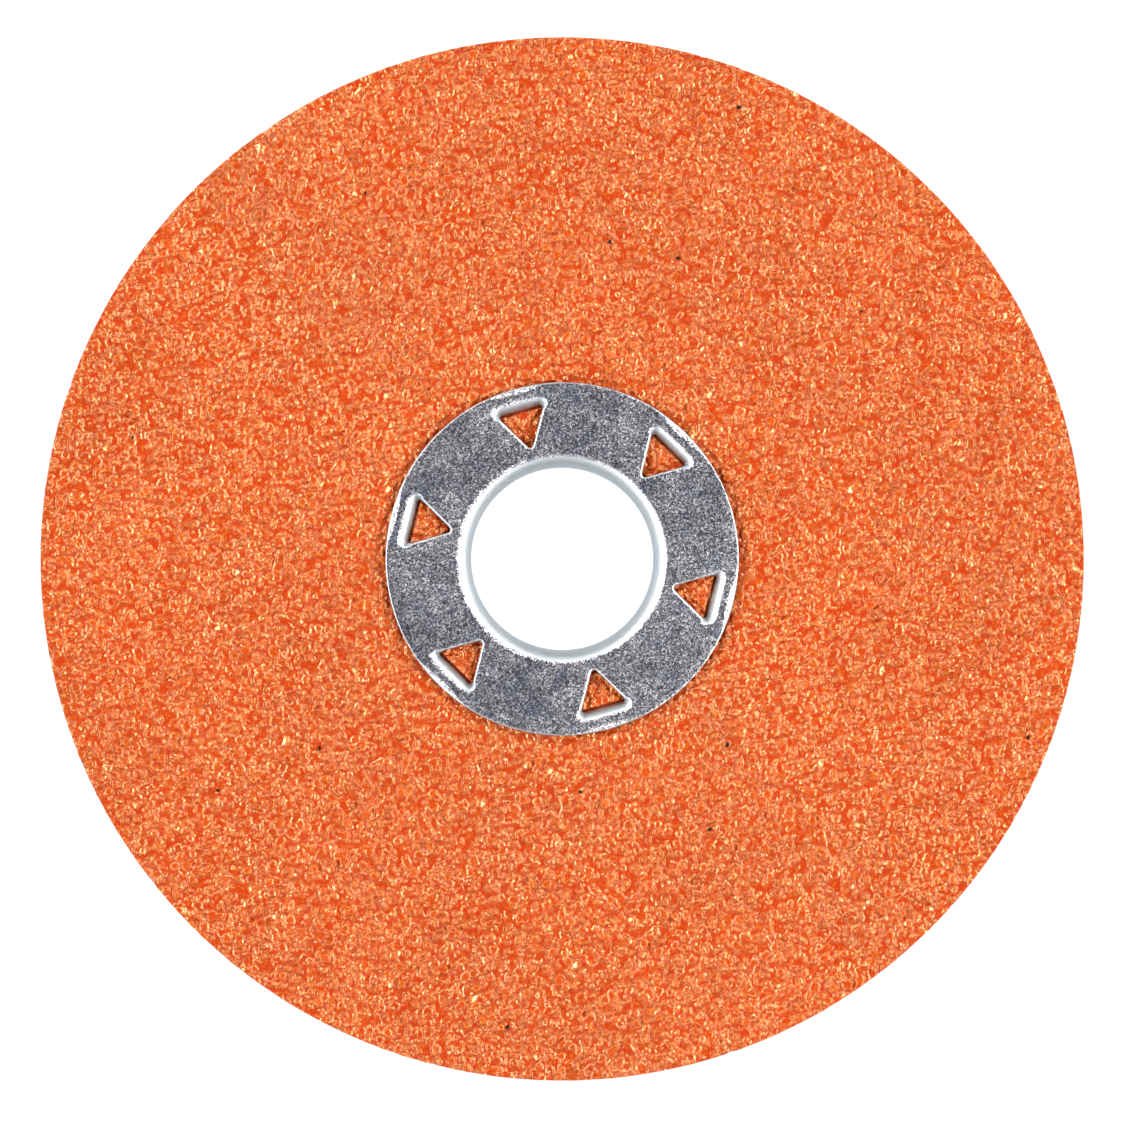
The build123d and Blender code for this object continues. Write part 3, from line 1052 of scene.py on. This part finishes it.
def makeFloor():
    # a pale glowing plane under the disc
    look = stageLook
    size = look["floorSize"]
    z = sheet["lowest"]
    corners = np.array([(-size, -size, z), (size, -size, z), (size, size, z), (-size, size, z)])
    material, tree, shader = newMaterial("paleFloor")
    shader.inputs["Base Color"].default_value = (*look["floorColour"], 1)
    shader.inputs["Roughness"].default_value = 0.9
    shader.inputs["Specular IOR Level"].default_value = 0.0
    shader.inputs["Emission Color"].default_value = (1, 1, 1, 1)
    shader.inputs["Emission Strength"].default_value = look["floorGlow"]
    # clear from below, so that the disc's rear face can be looked at
    clear = tree.nodes.new("ShaderNodeBsdfTransparent")
    which = tree.nodes.new("ShaderNodeNewGeometry")
    blend = tree.nodes.new("ShaderNodeMixShader")
    out = next(n for n in tree.nodes if n.type == "OUTPUT_MATERIAL")
    tree.links.new(which.outputs["Backfacing"], blend.inputs["Fac"])
    tree.links.new(shader.outputs["BSDF"], blend.inputs[1])
    tree.links.new(clear.outputs["BSDF"], blend.inputs[2])
    tree.links.new(blend.outputs["Shader"], out.inputs["Surface"])
    floor = makePiece("floor", corners, np.array([[0, 1, 2, 3]]), material, smooth=False)


def makeLight():
    # a dim tent with a softly lit ceiling, a bright band round it that is strongest at the left
    # and right, and three soft lamps at its sides
    look = stageLook
    world = bpy.data.worlds.new("softTent")
    world.use_nodes = True
    bpy.context.scene.world = world
    tree = world.node_tree
    tree.nodes.clear()
    out = tree.nodes.new("ShaderNodeOutputWorld")
    glow = tree.nodes.new("ShaderNodeBackground")
    where = tree.nodes.new("ShaderNodeTexCoord")
    tree.links.new(glow.outputs["Background"], out.inputs["Surface"])

    def towards(tilt, azimuth):
        # the cosine of the angle between where one looks and a direction
        t, a = math.radians(tilt), math.radians(azimuth)
        node = tree.nodes.new("ShaderNodeVectorMath")
        node.operation = "DOT_PRODUCT"
        tree.links.new(where.outputs["Generated"], node.inputs[0])
        node.inputs[1].default_value = (math.sin(t) * math.cos(a), math.sin(t) * math.sin(a), math.cos(t))
        return node.outputs["Value"]

    def band(value, start, end):
        node = tree.nodes.new("ShaderNodeMapRange")
        node.interpolation_type = "SMOOTHSTEP"
        wire(tree, value, node.inputs["Value"])
        node.inputs["From Min"].default_value = start
        node.inputs["From Max"].default_value = end
        return node.outputs["Result"]

    def cosine(degrees):
        return math.cos(math.radians(degrees))

    cap = band(towards(look["capTilt"], look["capAzimuth"]),
               cosine(look["capRadius"] + look["capSoft"]), cosine(look["capRadius"] - look["capSoft"]))
    colour = mix(tree, "MIX", cap, look["ringLight"], look["capLight"])
    inner, outer = look["stripZenith"]
    soft = look["stripSoft"]
    up = towards(0, 0)
    across = towards(90, 0)
    above = band(up, cosine(outer + soft), cosine(outer - soft))
    below = band(up, cosine(inner - soft), cosine(inner + soft))
    strip = maths(tree, "MULTIPLY", above, below)
    level = maths(tree, "SUBTRACT", 1.0001, maths(tree, "MULTIPLY", up, up))   # never quite zero
    level = maths(tree, "SQRT", level)
    sideways = maths(tree, "ABSOLUTE", maths(tree, "DIVIDE", across, level))
    sideways = maths(tree, "POWER", sideways, 2.0)
    sideways = maths(tree, "MULTIPLY_ADD", sideways, 1 - look["stripEnds"], look["stripEnds"])
    topMore = maths(tree, "DIVIDE", towards(90, 90), level)
    sideways = maths(tree, "MULTIPLY_ADD", topMore, look["stripTop"], sideways)
    strip = maths(tree, "MULTIPLY", maths(tree, "MULTIPLY", strip, sideways), look["stripLight"])
    for zenith, azimuth, radius, soft, strength in look["softLights"]:
        patch = band(towards(zenith, azimuth), cosine(radius + soft), cosine(radius - soft))
        strip = maths(tree, "MULTIPLY_ADD", patch, strength, strip)
    whole = mix(tree, "ADD", 1.0, colour, strip)
    wire(tree, whole, glow.inputs["Color"])


resin = resinMaterial()
zinc = zincMaterial()
fibre = fibreMaterial()
bond = bondMaterial()
grit = gritMaterial()
print("materials ready")

tiles, rimLoop, heightAt = makeRelief(resin)
for tile in tiles:
    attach(tile, "root")
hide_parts("supersize_coat", "size_coat")

cutEdge = makeCutEdge(rimLoop, bond)
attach(cutEdge, "root")
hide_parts("abrasive_grain")

strayGrit = makeSpecks(heightAt, grit)
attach(strayGrit, "root")

pressing = makeFlange(zinc)
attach(pressing, "root")
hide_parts("front_flange")

for nodeName, material in (("fibre_backing", fibre), ("make_coat", bond), ("rear_flange", zinc)):
    node = frame["nodes"][nodeName]
    for slotIndex in range(len(node.material_slots)):
        node.material_slots[slotIndex].material = material
print("object ready")

makeCamera()
makeFloor()
makeLight()
bpy.context.scene.view_settings.view_transform = "Standard"
bpy.context.scene.view_settings.look = "None"
print("stage ready")
